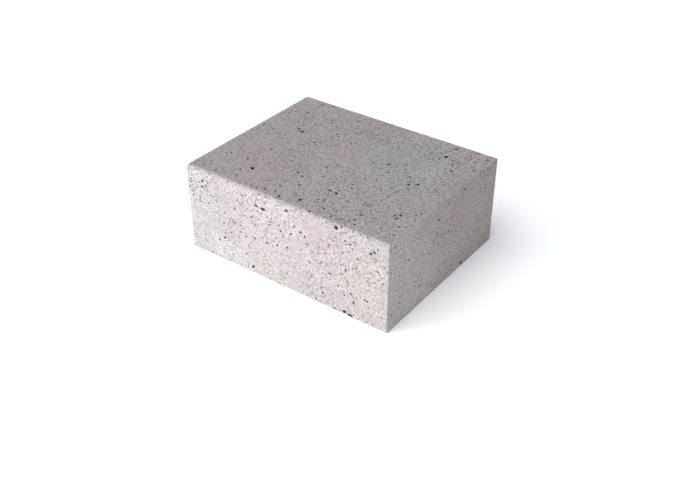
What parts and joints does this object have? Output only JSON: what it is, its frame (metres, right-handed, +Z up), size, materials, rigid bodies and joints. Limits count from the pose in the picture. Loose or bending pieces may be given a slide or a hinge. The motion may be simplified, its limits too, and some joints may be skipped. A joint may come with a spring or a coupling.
{
  "type": "stair step block",
  "caption": "Solid cast concrete block that makes one step of an outdoor stair, with a rounded nosing along the top front edge.",
  "frame": {"origin": "centre of the bed face, the underside that the block rests on", "axes": "+X along the width of the stair, -Y towards the person who climbs it (the riser face with the rounded nosing), +Z up through the tread"},
  "size_m": [0.4, 0.32, 0.16],
  "materials": {
    "concrete": "matt as-cast concrete, warm pinkish grey, with fine sand grain and open air pores"
  },
  "bodies": {
    "root": {"step_block": "concrete"}
  },
  "joints": []
}
